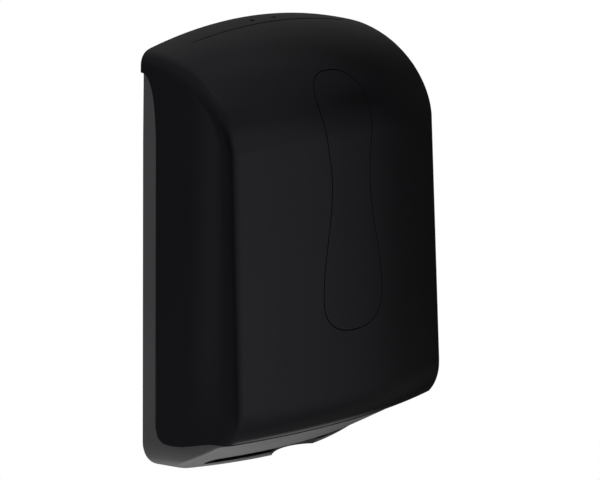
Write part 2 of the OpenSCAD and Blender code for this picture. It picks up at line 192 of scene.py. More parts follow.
class Skin:
    """Points and faces of one piece, collected in millimetres and welded when made."""

    def __init__(self) -> None:
        """Starts empty."""
        self.points: list[Array] = []
        self.faces: list[Array] = []
        self.count = 0

    def sheet(self, points: Array, keep: Array | None = None) -> None:
        """Adds a grid of points with faces between its rows and columns.

        Args:
            points: Grid of points.
            keep: Which cells get a face. All do where it is left out.
        """
        i = self.count + np.arange(points.size // 3).reshape(points.shape[:-1])
        self.points.append(np.asarray(points, float).reshape(-1, 3))
        self.count += i.size
        quads = stack([i[:-1, :-1], i[:-1, 1:], i[1:, 1:], i[1:, :-1]], axis=-1)
        self.faces.append(quads.reshape(-1, 4) if keep is None else quads[keep])

    def band(self, loops: Array) -> None:
        """Adds closed loops of points with faces between each loop and the next."""
        self.sheet(concatenate([loops, loops[:, :1]], axis=1))

    def make(self, name: str) -> Piece:
        """Welds the points, turns the faces outwards and makes the object.

        Args:
            name: Name of the piece.

        Returns:
            A smooth-shaded object at the origin.
        """
        points, faces = concatenate(self.points), concatenate(self.faces)
        _, first, number = np.unique(np.round(points, WELD_DIGITS), axis=0, return_index=True,
                                     return_inverse=True)
        faces = number.reshape(-1)[faces]
        same = faces == np.roll(faces, -1, axis=1)
        whole, thin = same.sum(axis=1) == 0, same.sum(axis=1) == 1
        threes = faces[thin][~same[thin]].reshape(-1, 3)
        mesh = bpy.data.meshes.new(name)
        mesh.from_pydata((points[first] * MM).tolist(), [], faces[whole].tolist() + threes.tolist())
        mesh.validate()
        solid = bmesh.new()
        solid.from_mesh(mesh)
        bmesh.ops.recalc_face_normals(solid, faces=solid.faces)
        solid.to_mesh(mesh)
        solid.free()
        mesh.polygons.foreach_set("use_smooth", np.ones(len(mesh.polygons), dtype=bool))
        mesh.update()
        piece = bpy.data.objects.new(name, mesh)
        bpy.context.scene.collection.objects.link(piece)
        return piece


def bead(outer: Array, inner: Array, outward: Array, r: float) -> Array:
    """Rounded edge of a wall, carried along the wall's border.

    Each point of the border gets a half-round profile between its outer and inner face: with
    D from outer to inner, of length t, and B across the border, the profile is
    outer + D s + B h, where (s t, h) follows a quarter circle of radius r at both faces.

    Args:
        outer: Closed loop on the outer face.
        inner: The same loop on the inner face.
        outward: Rough direction out of the wall at each point.
        r: Radius of the round.

    Returns:
        Loops from the outer face to the inner one.
    """
    depth = inner - outer
    across = unit(np.cross(around(outer), unit(depth)))
    across = across * np.sign(np.sum(across * outward, axis=-1, keepdims=True))
    h, s = quarter()
    share = r / np.linalg.norm(depth, axis=-1)[None, :, None]
    s, h = s[:, None, None] * share, h[:, None, None] * r
    near = outer + depth * s + across * h
    far = outer + depth * (1 - s) + across * h
    return concatenate([near, far[::-1]])


def prism(skin: Skin, loop: Array, middle: Array, way: Array, r: float = 0.0) -> None:
    """Adds a closed bar: a loop carried along a straight way, with rounded ends.

    Args:
        skin: Mesh that gets the bar.
        loop: Closed loop at the bar's start.
        middle: Point inside the loop for each of its points, where the end faces meet.
        way: Vector from the start to the end.
        r: Radius of the round at both ends.
    """
    inward = unit(np.cross(around(loop), unit(way)))
    inward = inward * np.sign(np.sum(inward * (middle - loop), axis=-1, keepdims=True))
    rims = [loop[None], loop[None] + way]
    if r > 0:
        h, s = quarter(END_STEPS)
        on = way * (s * r / np.linalg.norm(way))[:, None, None]
        rim = loop + inward * r * (1 - h)[:, None, None] + on
        rims = [rim, (rim - 2 * on)[::-1] + way]
    skin.band(concatenate([middle[None], *rims, middle[None] + way]))


def ring_loop(centre: Array, axis: int, radius: float, count: int) -> Array:
    """Circle about a coordinate axis: radius times cosine and sine along the two after it.

    Args:
        centre: Centre of the circle.
        axis: Number of the axis.
        radius: Radius of the circle.
        count: Number of points.

    Returns:
        A closed loop.
    """
    turn = linspace(0, 2 * pi, count, endpoint=False)
    loop = np.zeros((count, 3))
    loop[:, (axis + 1) % 3] = radius * cos(turn)
    loop[:, (axis + 2) % 3] = radius * sin(turn)
    return loop + centre


def lathe(skin: Skin, centre: Array, axis: int, profile: Array, count: int = 64) -> None:
    """Adds a turned piece: a closed profile of (place along the axis, radius) spun about it."""
    loops = stack([ring_loop(centre + p[0] * np.eye(3)[axis], axis, p[1], count) for p in profile])
    skin.band(concatenate([loops, loops[:1]]))


def drill(name: str, centre: Array, axis: int, radius: float, way: float, count: int) -> Piece:
    """Makes a cylinder to cut with.

    Args:
        name: Name of the cutter.
        centre: Middle of its first end.
        axis: Number of the axis that it lies along.
        radius: Radius of the cylinder.
        way: Distance along the axis to its other end.
        count: Number of points round it.

    Returns:
        A closed solid.
    """
    skin, loop = Skin(), ring_loop(centre, axis, radius, count)
    prism(skin, loop, np.broadcast_to(centre, loop.shape), way * np.eye(3)[axis])
    return skin.make(name)


def bar_loop(low: Floats, high: Floats, r: float, z: float) -> Array:
    """Rectangle with round corners in a level plane: a quarter circle turned to each corner.

    Args:
        low: Low corner as x and y.
        high: High corner as x and y.
        r: Radius of the corners.
        z: Height.

    Returns:
        A closed loop.
    """
    turn = linspace(0, pi / 2, ROUND_STEPS)
    arc, spin = column_stack([cos(turn), sin(turn)]) * r, array([[0, 1], [-1, 0]])
    corners = [(high[0] - r, high[1] - r), (low[0] + r, high[1] - r),
               (low[0] + r, low[1] + r), (high[0] - r, low[1] + r)]
    flat = concatenate([arc @ np.linalg.matrix_power(spin, n) + c for n, c in enumerate(corners)])
    return column_stack([flat, np.full(len(flat), z)])


def carve(piece: Piece, cutters: list[Piece], round_mm: float) -> None:
    """Cuts other solids out of a piece, rounds the new edges and keeps the result as its mesh.

    Args:
        piece: Piece to cut.
        cutters: Closed solids, which are deleted afterwards.
        round_mm: Width of the round on the cut edges.
    """
    for cutter in cutters:
        cut = piece.modifiers.new("cut", "BOOLEAN")
        cut.operation, cut.solver, cut.object = "DIFFERENCE", "EXACT", cutter
    edge = piece.modifiers.new("edge", "BEVEL")
    edge.width, edge.segments, edge.limit_method = round_mm * MM, CUT_STEPS, "ANGLE"
    edge.angle_limit = radians(CUT_ANGLE)
    piece.modifiers.new("weld", "WELD").merge_threshold = WELD_MM * MM
    piece.modifiers.new("even", "WEIGHTED_NORMAL").keep_sharp = True
    bpy.context.view_layer.update()
    done = piece.evaluated_get(bpy.context.evaluated_depsgraph_get())
    old, piece.data = piece.data, bpy.data.meshes.new_from_object(done)
    piece.modifiers.clear()
    bpy.data.meshes.remove(old)
    piece.data.name = piece.name
    for cutter in cutters:
        bpy.data.meshes.remove(cutter.data)


# Forms


@dataclass(frozen=True)
class CoverForm:
    """Closed form of the cover: a tapering crowned wall whose top fans back to the wall."""

    width: float = 277.8
    width_top: float = 268.2
    depth: float = 131.77
    depth_top: float = 120.7
    crown: float = 18.3
    edge_r: float = 12.4
    least_r: float = 3.0
    draft: float = 6.25
    wall: float = 2.5
    top_h: float = 95.5
    arch_rise: float = 18.0
    shoulder_r: float = 15.2
    shoulder_draft: float = 2.0
    power: float = 1.87
    fan_least: float = 0.006
    shoulder_z: float = 94.6
    side_len: float = 101.5
    rise_len: float = 63.5
    rear_power: float = 2.5
    rear_rise: float = 0.96
    floor_z: float = -194.0
    edge_bead: float = 0.5
    rim_front_z: float = -155.2
    rim_rear_z: float = -166.0
    rim_flat: float = 5.0
    strip: float = 18.4
    corner_r: float = 13.0
    hinge_in: float = 126.49
    tuck: float = 13.5
    tuck_h: float = 31.0
    crease_y: float = 24.0
    crease_step: float = 0.35
    crease_deep: float = 0.3
    crease_w: float = 0.4
    crease_lap: float = 28.0
    crease_reach: float = 84.0
    crease_fade: float = 16.0
    guess_half: float = 118.0
    guess_rise: float = 0.98

    @property
    def hinge(self) -> Array:
        """Depth and height of the hinge line."""
        return array([self.strip + self.corner_r, self.rim_rear_z + self.corner_r])

    def add_hinge_rings(self, skin: Skin, profile: Array) -> None:
        """Adds a turned ring at both ends of the hinge line.

        Args:
            skin: Mesh that gets the rings.
            profile: Closed profile of (distance out from the hinge's seat, radius).
        """
        y, z = self.hinge
        for s in SIDES:
            lathe(skin, array([0.0, -y, z]), 0, (profile + [self.hinge_in, 0]) * [s, 1])

    def low_share(self, z: Array) -> Array:
        """Share of the straight lower part that lies below a height."""
        return (z - self.floor_z) / (self.shoulder_z - self.floor_z)

    def half_width(self, z: Array) -> Array:
        """Half width of the cover at the wall."""
        return mix(self.width, self.width_top, self.low_share(z)) / 2

    def middle_depth(self, z: Array) -> Array:
        """Depth of the cover's middle."""
        return mix(self.depth, self.depth_top, self.low_share(z))

    def tuck_in(self, z: Array) -> Array:
        """How far the front has turned in: an arc from tuck_h above the rim down to it.

        Args:
            z: Height.

        Returns:
            Distances back.
        """
        r = (self.tuck_h**2 + self.tuck**2) / (2 * self.tuck)
        h = clip(self.rim_front_z + self.tuck_h - z, 0, self.tuck_h)
        return r - np.sqrt(r * r - h * h)

    def rim_z(self, y: Array) -> Array:
        """Height of the lower rim: a round rear corner, then a soft step up to the front.

        Args:
            y: Depth from the wall.

        Returns:
            Heights.
        """
        r, rear = self.corner_r - self.edge_bead, self.strip + self.edge_bead
        hinge_y, hinge_z = self.hinge
        round_part = hinge_z - np.sqrt(np.maximum(0, r * r - (hinge_y - np.maximum(y, rear)) ** 2))
        run = self.depth - self.crown - self.tuck - 2 * self.rim_flat - hinge_y
        step = smooth((y - hinge_y - self.rim_flat) / run)
        long_part = mix(self.rim_rear_z, self.rim_front_z, step) + self.edge_bead
        return np.where(y < hinge_y, round_part, long_part)

    def side_section(self, z: Array, inset: float, start: Array, q: Array) -> Arrays:
        """Level section of the cover.

        Args:
            z: Height.
            inset: Distance inside the outer face.
            start: Depth at which the side starts.
            q: Stations.

        Returns:
            x and depth.
        """
        full = self.middle_depth(z) - inset
        d = full - self.tuck_in(z)
        return section(self.half_width(z) - inset, d, self.crown, max(self.edge_r - inset, self.least_r),
                       self.draft * (d - self.crown) / (full - self.crown), start, q)

    def top_section(self, inset: float, start: Array, q: Array) -> Arrays:
        """Upright section of the top at the wall: x and height above the shoulder."""
        return section(self.width_top / 2 - inset, self.top_h - inset, self.arch_rise,
                       max(self.shoulder_r - inset, self.least_r), self.shoulder_draft, start, q)

    def fan(self, b: Array) -> Arrays:
        """Shares of depth and height at an angle of the fan: powers of cosine and sine."""
        return np.maximum(self.fan_least, cos(b) ** (2 / self.power)), sin(b) ** (2 / self.power)

    def crease(self, x: Array, b: Array) -> Array:
        """How far the top's crease lowers the face.

        With s the distance behind the crease, the face in front lies lower by step exp(s / lap),
        which ends in a steep rise at s = 0. A groove deep exp(-(s / w)^2) runs along its foot.

        Args:
            x: Distance from the middle.
            b: Angle of the fan.

        Returns:
            Distances down.
        """
        power = 2 / self.power
        middle = np.arccos((self.crease_y / self.depth_top) ** (1 / power))
        pace = self.depth_top * power * cos(middle) ** (power - 1) * sin(middle)
        s = (b - middle) * pace
        foot = s / self.crease_w + 0.5
        low = self.crease_step * np.exp(np.minimum(s, 0) / self.crease_lap) * (1 - smooth(foot))
        groove = self.crease_deep * np.exp(-(foot**2))
        return (low + groove) * (1 - smooth((np.abs(x) - self.crease_reach) / self.crease_fade))

    def point(self, u: Array, v: Array, inset: float) -> Array:
        """Point of the cover's face.

        Up to v = 1 the face goes through level sections. From 1 to 2 it is the fan: with
        b = 90 (v - 1) degrees, depth shrinks as cos(b)^(2/p) and height grows as sin(b)^(2/p).

        Args:
            u: Station across, -1 and 1 at the rear edges and 0 at the middle.
            v: Station upwards, 0 at the rim, 1 at the shoulder and 2 at the wall.
            inset: Distance inside the outer face.

        Returns:
            Points in millimetres.
        """
        u, v = np.broadcast_arrays(np.asarray(u, float), np.asarray(v, float))
        q, rear = np.abs(u), self.strip + self.edge_bead
        rim = self.rim_z(self.side_section(self.rim_front_z, inset, rear, q)[1])
        z = mix(rim, self.shoulder_z, clip(v, 0, 1))
        x, y = self.side_section(z, inset, rear, q)
        low = stack([x, -y, z], axis=-1)
        b = clip(v - 1, 0, 1) * pi / 2
        cb, sb = self.fan(b)
        p = self.rear_power
        share = ((self.side_len * cb / rear) ** p + (sb / self.rear_rise) ** p) ** (-1 / p)
        hx, hy = self.side_section(self.shoulder_z, inset, share * self.side_len, q)
        tx, ty = self.top_section(inset, share * self.rise_len, q)
        x = mix(hx, tx, sin(b) ** 2)
        high = stack([x, -hy * cb, self.shoulder_z + ty * sb], axis=-1)
        if inset == 0:
            high[..., 2] -= self.crease(x, b)
        face = np.where((v <= 1)[..., None], low, high)
        face[..., 0] *= -np.sign(u)
        return face

    def solve(self, aim: Array, axes: Ints, u: Array, v: Array,
              inset: float) -> Arrays:
        """Stations whose point has two wanted coordinates, by Newton steps.

        Args:
            aim: Wanted coordinates.
            axes: Which two coordinates they are.
            u: First guess across.
            v: First guess upwards.
            inset: Distance inside the outer face.

        Returns:
            The stations u and v.
        """
        step, reach, pick = SOLVE_STEP, SOLVE_REACH, list(axes)
        for _ in range(SOLVE_ROUNDS):
            here = self.point(u, v, inset)[..., pick]
            du = (self.point(u + step, v, inset)[..., pick] - here) / step
            dv = (self.point(u, v + step, inset)[..., pick] - here) / step
            miss = aim - here
            det = du[..., 0] * dv[..., 1] - du[..., 1] * dv[..., 0]
            u = u + clip((miss[..., 0] * dv[..., 1] - miss[..., 1] * dv[..., 0]) / det, -reach, reach)
            v = v + clip((du[..., 0] * miss[..., 1] - du[..., 1] * miss[..., 0]) / det, -reach, reach)
        return u, v

    def front(self, xz: Array, inset: float) -> Arrays:
        """Stations of the front face.

        Args:
            xz: Places as x and z.
            inset: Distance inside the outer face.

        Returns:
            The stations u and v.
        """
        x, z = xz[..., 0], xz[..., 1]
        rise = clip((z - self.shoulder_z) / self.top_h, 0, self.guess_rise)
        v = np.where(z < self.shoulder_z, (z - self.rim_front_z) / (self.shoulder_z - self.rim_front_z),
                     1 + np.arcsin(rise ** (self.power / 2)) * 2 / pi)
        return self.solve(xz, (0, 2), x * FRONT_END / self.guess_half, v, inset)

    def front_point(self, xz: Array, inset: float) -> Array:
        """Points of the front face at x and z."""
        return self.point(*self.front(xz, inset), inset)

    def top_point(self, xy: Array, inset: float) -> Array:
        """Points of the top face at x and y."""
        u = xy[..., 0] * FRONT_END / self.guess_half
        v = 1 + np.arccos((-xy[..., 1] / self.depth_top) ** (self.power / 2)) * 2 / pi
        return self.point(*self.solve(xy, (0, 1), u, v, inset), inset)


@dataclass(frozen=True)
class WindowForm:
    """Bottle-shaped outline of the sight window, with superellipse ends."""

    low_z: float = -70.0
    bulge_z: float = -40.0
    waist_z: float = 60.0
    head_z: float = 124.0
    top_z: float = 152.0
    bulge_w: float = 36.3
    waist_w: float = 23.2
    head_w: float = 29.8
    power: float = 2.4
    end_steps: int = 300
    side_steps: int = 500

    def half(self) -> Array:
        """Right half of the outline: an end cos^(2/p), sin^(2/p), two smooth steps, an end.

        Returns:
            Points from the lower end to the upper one, as x and z.
        """
        turn = linspace(0, pi / 2, self.end_steps)
        s, c = sin(turn) ** (2 / self.power), cos(turn) ** (2 / self.power)
        z = linspace(self.bulge_z, self.head_z, self.side_steps)
        low = smooth((z - self.bulge_z) / (self.waist_z - self.bulge_z))
        high = smooth((z - self.waist_z) / (self.head_z - self.waist_z))
        w = np.where(z < self.waist_z, mix(self.bulge_w, self.waist_w, low),
                     mix(self.waist_w, self.head_w, high))
        return concatenate([
            column_stack([self.bulge_w * s, self.bulge_z - (self.bulge_z - self.low_z) * c]),
            column_stack([w, z])[1:-1],
            column_stack([self.head_w * c, self.head_z + (self.top_z - self.head_z) * s])])

    def loop(self, grid: Array) -> Arrays:
        """Outline points that go with the four sides of a block of cells around or inside it.

        Args:
            grid: Points of the block, as x and z.

        Returns:
            Outline points as x and z, and the outline's outward directions.
        """
        half = self.half()
        whole = concatenate([half, half[-2:0:-1] * [-1, 1]])
        closed = concatenate([whole, whole[:1]])
        run = lengths(closed)
        total, turn = run[-1], self.end_steps // 2
        low, high = run[turn], run[len(half) - turn]
        spans = [(-low, low), (low, high), (high, total - high), (total - high, total - low)]
        places = concatenate([mix(a, b, lengths(side) / lengths(side)[-1])[:-1]
                              for side, (a, b) in zip(block_sides(grid), spans)]) % total
        out = around(whole)
        out = concatenate([out, out[:1]])[:, ::-1] * [1, -1]
        pick = [np.interp(places, run, column) for column in (*closed.T, *out.T)]
        return column_stack(pick[:2]), unit(column_stack(pick[2:]))


def block_sides(grid: Array) -> Arrays:
    """Lower, right, upper and left side of a grid of points, in turn and end to end."""
    return grid[0], grid[:, -1], grid[-1, ::-1], grid[::-1, 0]


def border(grid: Array) -> Array:
    """Closed loop around a grid of points."""
    return concatenate([side[:-1] for side in block_sides(grid)])


def border_out(grid: Array) -> Array:
    """Rough outward directions along the closed loop around a grid."""
    sides = block_sides(grid), (grid[1], grid[:, -2], grid[-2, ::-1], grid[::-1, 1])
    return concatenate([(edge - next_in)[:-1] for edge, next_in in zip(*sides)])


# Pieces of the cover


@dataclass
class FrontCover:
    """The gloss shell: face, window opening, key holes, hinge bosses and the lock's rib."""

    form: CoverForm = CoverForm()
    window: WindowForm = WindowForm()
    gap: float = 0.65
    bead_r: float = 0.2
    key_dx: float = 13.5
    key_y: float = 15.0
    key_r: float = 2.2
    key_bead: float = 0.12
    boss: tuple[Floats, ...] = ((5.1, 2.5), (5.1, 7.6), (5.5, 8.0), (8.3, 8.0), (8.3, 2.5))
    rib_half: float = 8.0
    rib_y: float = 19.5
    rib_t: float = 2.0
    rib_z: float = 176.5
    rib_h: float = 9.4
    rib_r: float = 0.4
    rib_end: float = 0.3
    rib_core: float = 0.9
    columns: Ints = (48, 12, 28)
    low_rows: int = 65
    low_power: float = 1.25
    crease_band: Floats = (76.5, 78.0)
    fan_rows: Ints = (62, 30, 19)
    window_cells: Ints = (25, 23, 112)
    window_rows: int = 15
    window_power: float = 1.5
    key_cells: Ints = (3, 8, 13, 5)
    key_rows: int = 7

    def stations(self) -> Arrays:
        """Stations of the face, closer together at the crease of the top.

        Returns:
            Stations across and upwards.
        """
        half = rows((0, FRONT_END, EDGE_END, 1), self.columns)
        angles = rows((0, *self.crease_band, 90), self.fan_rows)[1:]
        low = linspace(0, 1, self.low_rows) ** self.low_power
        return concatenate([-half[:0:-1], half]), concatenate([low, 1 + angles / 90])

    def edge_profile(self, grow: float, r: float) -> Array:
        """Profile of an opening's wall: a quarter circle at both faces.

        Args:
            grow: Growth of the outline.
            r: Radius of the round.

        Returns:
            Pairs of growth and inset.
        """
        h, s = quarter()
        near = column_stack([grow + r * (1 - h), r * s])
        return concatenate([near, (near * [1, -1] + [0, self.form.wall])[::-1]])

    def build(self) -> Piece:
        """Makes the shell: two faces with openings, joined by rounded edges.

        Returns:
            The piece.
        """
        skin, form, (u, v) = Skin(), self.form, self.stations()
        stations, middle = spread(u, v[:, None]), len(u) // 2
        half, first, last = self.window_cells
        near, far, deep, behind = self.key_cells
        end = len(v) - behind
        blocks = [(slice(first, last + 1), slice(middle - half, middle + half + 1))]
        blocks += [(slice(end - deep, end + 1), slice(middle + a, middle + b + 1))
                   for a, b in ((-far, -near), (near, far))]
        keep = np.ones((len(v) - 1, len(u) - 1), bool)
        for up, across in blocks:
            keep[up.start:up.stop - 1, across.start:across.stop - 1] = False
        insets = (0.0, form.wall)
        faces = [form.point(stations[..., 0], stations[..., 1], inset) for inset in insets]
        path, out = self.window.loop(faces[0][blocks[0]][..., [0, 2]])
        keys = [(s, block, self.key_turn(faces[0][block], s)) for s, block in zip(SIDES, blocks[1:])]
        for face, inset in zip(faces, insets):
            skin.sheet(face, keep)
            self.window_ring(skin, stations[blocks[0]], path + out * (self.gap + self.bead_r), inset)
            for s, block, turn in keys:
                self.key_ring(skin, face[block], turn, s, inset)
        skin.band(bead(border(faces[0]), border(faces[1]), border_out(faces[0]), form.edge_bead))
        profile = self.edge_profile(self.gap, self.bead_r)
        skin.band(stack([form.front_point(path + out * g, inset) for g, inset in profile]))
        for s, _, turn in keys:
            skin.band(stack([form.top_point(self.key_circle(turn, s, self.key_r + g), inset)
                             for g, inset in self.edge_profile(0.0, self.key_bead)]))
        form.add_hinge_rings(skin, array(self.boss))
        self.add_rib(skin)
        return skin.make("cover_shell")

    def window_ring(self, skin: Skin, stations: Array, outline: Array, inset: float) -> None:
        """Fills between the window's opening and the block of cells left out around it.

        Args:
            skin: Mesh of the shell.
            stations: Stations of the block.
            outline: Opening as x and z.
            inset: Distance inside the outer face.
        """
        inner = stack(self.form.front(outline, inset), axis=-1)
        ring = mix(inner[None], border(stations)[None], shares(self.window_rows, self.window_power))
        skin.band(self.form.point(ring[..., 0], ring[..., 1], inset))

    def key_turn(self, block: Array, side: int) -> Array:
        """Angles about a key hole of the points around its block."""
        loop = border(block)
        return np.arctan2(loop[:, 1] + self.key_y, loop[:, 0] - side * self.key_dx)

    def key_circle(self, turn: Array, side: int, r: float) -> Array:
        """Points about a key hole, as x and y."""
        return column_stack([side * self.key_dx + r * cos(turn), r * sin(turn) - self.key_y])

    def key_ring(self, skin: Skin, block: Array, turn: Array, side: int, inset: float) -> None:
        """Fills between a key hole and the block of cells left out around it.

        Args:
            skin: Mesh of the shell.
            block: Points of the block.
            turn: Angles about the hole of the points around the block.
            side: -1 for the left hole and 1 for the right one.
            inset: Distance inside the outer face.
        """
        loop, hole = border(block), self.key_circle(turn, side, self.key_r + self.key_bead)
        flat = mix(hole[None], loop[None, :, :2], shares(self.key_rows)[1:-1])
        skin.band(concatenate([self.form.top_point(hole, inset)[None], self.form.top_point(flat, inset),
                               loop[None]]))

    def add_rib(self, skin: Skin) -> None:
        """Adds the rib that carries the lock's keeper.

        Args:
            skin: Mesh of the shell.
        """
        front, rear = -self.rib_y - self.rib_t, -self.rib_y
        loop = bar_loop((-self.rib_half, front), (self.rib_half, rear), self.rib_r, self.rib_z)
        core = array([0, (front + rear) / 2, self.rib_z]) + loop * [self.rib_core, 0, 0]
        prism(skin, loop, core, array([0, 0, self.rib_h]), self.rib_end)


@dataclass
class SightWindow:
    """The flush window: a bottle-shaped pane with a flange behind the cover's wall."""

    form: CoverForm = CoverForm()
    window: WindowForm = WindowForm()
    bead_r: float = 0.2
    flange: float = 6.0
    flange_t: float = 1.6
    seat: float = 2.8
    block_ends: Floats = (16.0, 15.0)
    block_share: float = 0.5
    block_points: Ints = (25, 81)
    ring_rows: int = 13
    ring_power: float = 1.4

    def block(self) -> Array:
        """Grid inside the outline, half as wide as the pane.

        Returns:
            Points as x and z.
        """
        (low, high), (across, up) = self.block_ends, self.block_points
        z = linspace(self.window.low_z + low, self.window.top_z - high, up)
        half = self.window.half()
        w = self.block_share * np.interp(z, half[:, 1], half[:, 0])
        return spread(linspace(-1, 1, across) * w[:, None], z[:, None])

    def build(self) -> Piece:
        """Makes the pane: two faces joined by its rounded edge and its flange.

        Returns:
            The piece.
        """
        skin, block = Skin(), self.block()
        path, out = self.window.loop(block)
        (h, s), r, seat = quarter(), self.bead_r, self.seat
        pane = column_stack([-r * (1 - h), r * s])
        rim = column_stack([self.flange - r * (1 - h), seat + r * s])
        far_rim = (rim * [1, -1] + [0, 2 * seat + self.flange_t])[::-1]
        profile = concatenate([pane, [[0, seat], [self.flange / 2, seat]], rim, far_rim])
        skin.band(stack([self.form.front_point(path + out * g, inset) for g, inset in profile]))
        for grow, inset in (profile[0], profile[-1]):
            skin.sheet(self.form.front_point(block, inset))
            ring = mix((path + out * grow)[None], border(block)[None],
                       shares(self.ring_rows, self.ring_power))
            skin.band(self.form.front_point(ring, inset))
        return skin.make("sight_pane")


# Pieces of the rear body


@dataclass
class RearBody:
    """The satin moulding: tray with towel slot and finger notch, frame, back plate and ribs."""

    form: CoverForm = CoverForm()
    inset: float = 3.5
    wall: float = 2.5
    slope_wall: float = 5.25
    keel_r: float = 25.0
    lip_d: float = 52.0
    lip_crown: float = 26.0
    lip_lean: float = 0.8
    lip_draft: float = 5.0
    lip_h: float = 4.8
    hull_top_z: float = -156.4
    tray_top_z: float = -134.2
    rim_gap: float = 0.9
    wall_gap: float = 0.4
    bead_r: float = 0.6
    rear_bead: float = 0.3
    cut_round: float = 0.5
    handle: float = 0.58
    slot_half: float = 100.0
    slot_h: float = 7.0
    slot_y: float = -25.0
    slot_way: float = -80.0
    notch_half: float = 30.0
    notch_d: float = 13.0
    notch_out: float = 2.0
    notch_under: float = 5.0
    notch_over: float = 1.0
    pocket_out: float = 1.5
    pocket_gap: float = 4.7
    pocket_way: float = 20.0
    plate_t: float = 3.0
    plate_gap: float = 0.5
    plate_round: float = 0.3
    screw_dx: float = 190.0
    screw_dz: float = 200.0
    screw_r: float = 3.0
    screw_y: float = 3.0
    screw_way: float = -10.0
    rib_x: Floats = (-60.0, -20.0, 20.0, 60.0)
    rib_half: float = 1.5
    rib_deep: float = 4.0
    rib_sunk: float = 1.0
    rib_foot: float = 30.0
    rib_extra: float = 70.0
    rib_r: float = 0.6
    rib_end: float = 0.5
    bush_r: float = 4.0
    seat: tuple[Floats, ...] = (
        (0, 0), (0, 5.9), (0.6, 6.5), (6, 6.5), (6, 4.7), (4.5, 4.7), (4.5, 0))
    front_cells: Ints = (40, 8)
    side_cells: Ints = (10, 10)
    base_points: int = 41
    keel_points: int = 15
    wall_rows: Ints = (6, 6)
    foot_points: int = 14
    arch_rows: Ints = (11, 23)
    ease_points: int = 9
    ease_power: float = 0.7
    slot_points: int = 25
    notch_points: int = 162
    pocket_points: int = 72
    screw_points: int = 48
    plate_keel: int = 13
    plate_side: int = 12
    plate_arch: Ints = (19, 29)

    def stations(self) -> Array:
        """Stations across the tray, from the left rear edge to the right one.

        Returns:
            The stations.
        """
        side = mix(EDGE_END, 1.0, rows((0, self.handle, 1), self.side_cells))
        half = concatenate([rows((0, FRONT_END, EDGE_END), self.front_cells), side[1:]])
        return concatenate([-half[:0:-1], half])

    def levels(self) -> Array:
        """Heights of the tray's rows: close together on the round keel.

        Returns:
            The heights.
        """
        floor = self.form.floor_z
        low = np.sort(np.append(floor + self.keel_r * quarter(self.keel_points)[1], floor + self.lip_h))
        return concatenate([low, rows((low[-1], self.hull_top_z, self.tray_top_z), self.wall_rows)[1:]])

    def tray(self, u: Array, z: Array, inner: float) -> Array:
        """Point of the tray's face: a level section that grows from lip to rim as it rises.

        The lip leans forward as it rises. Above it the middle's depth grows evenly to the cover's
        depth. The sides come in at the floor by the keel's quarter circle.

        Args:
            u: Station across.
            z: Height.
            inner: Distance inside the outer face.

        Returns:
            Points in millimetres.
        """
        form, floor = self.form, self.form.floor_z
        lip = floor + self.lip_h
        t = clip((z - lip) / (self.hull_top_z - lip), 0, 1)
        top = np.maximum(z, self.hull_top_z)
        full = form.middle_depth(top) - form.tuck_in(top) * (1 + self.rim_gap / form.tuck) - self.inset
        thick = np.where(z < self.hull_top_z - WELD_MM, inner * self.slope_wall / self.wall, inner)
        lean = self.lip_lean * np.minimum(z - floor, self.lip_h)
        d = mix(self.lip_d + lean, full, t) - thick
        crown = mix(self.lip_crown, form.crown, t)
        draft = form.draft * (d - crown) / (form.depth - form.crown) + self.lip_draft * (1 - t)
        up = np.maximum(0, floor + self.keel_r - z)
        keel = self.keel_r - np.sqrt(np.maximum(0, self.keel_r**2 - up * up))
        a = form.half_width(z) - self.inset - inner - keel
        r = max(form.edge_r - self.inset - inner, form.least_r)
        x, y = section(a, d, crown, r, draft, self.wall_gap, np.abs(u))
        return spread(-np.sign(u) * x, -y, z)

    def frame(self, y: Array, inner: float) -> Array:
        """Frame round the back, as rows of points along its path at the given depths.

        It is the cover's own face, inset: straight up the sides, then over the top, where
        cb = (depth / front depth) gives the fan's angle.

        Args:
            y: Depths of the columns.
            inner: Distance inside the frame's outer face.

        Returns:
            Grid of points, from the left foot over the top to the right foot.
        """
        form, o, p = self.form, self.inset + inner, self.form.power
        z = linspace(self.tray_top_z, form.shoulder_z, self.foot_points)[:, None]
        lean = form.draft * y / (form.depth - form.crown)
        feet = spread(lean + o - form.half_width(z), -y, z)
        q = rows((EDGE_END, FRONT_END, 0), self.arch_rows)[:, None]
        level, upright = form.side_section(form.shoulder_z, o, 1.0, q), form.top_section(o, 1.0, q)
        f = mix(y / level[1][0], 1.0, shares(self.ease_points, self.ease_power)[1:-1, 0])
        a = form.width_top / 2 - o
        (hx, hy), (tx, ty) = [(concatenate([mix(-a, x[0], f), x + 0 * y]),
                               concatenate([d[0] * f, d + 0 * y])) for x, d in (level, upright)]
        cb = clip(y / hy, 0, 1) ** p
        over = spread(mix(hx, tx, 1 - cb), -y, form.shoulder_z + ty * (1 - cb) ** (1 / p))
        left = concatenate([feet, over])
        return concatenate([left, left[-2::-1] * [-1, 1, 1]])

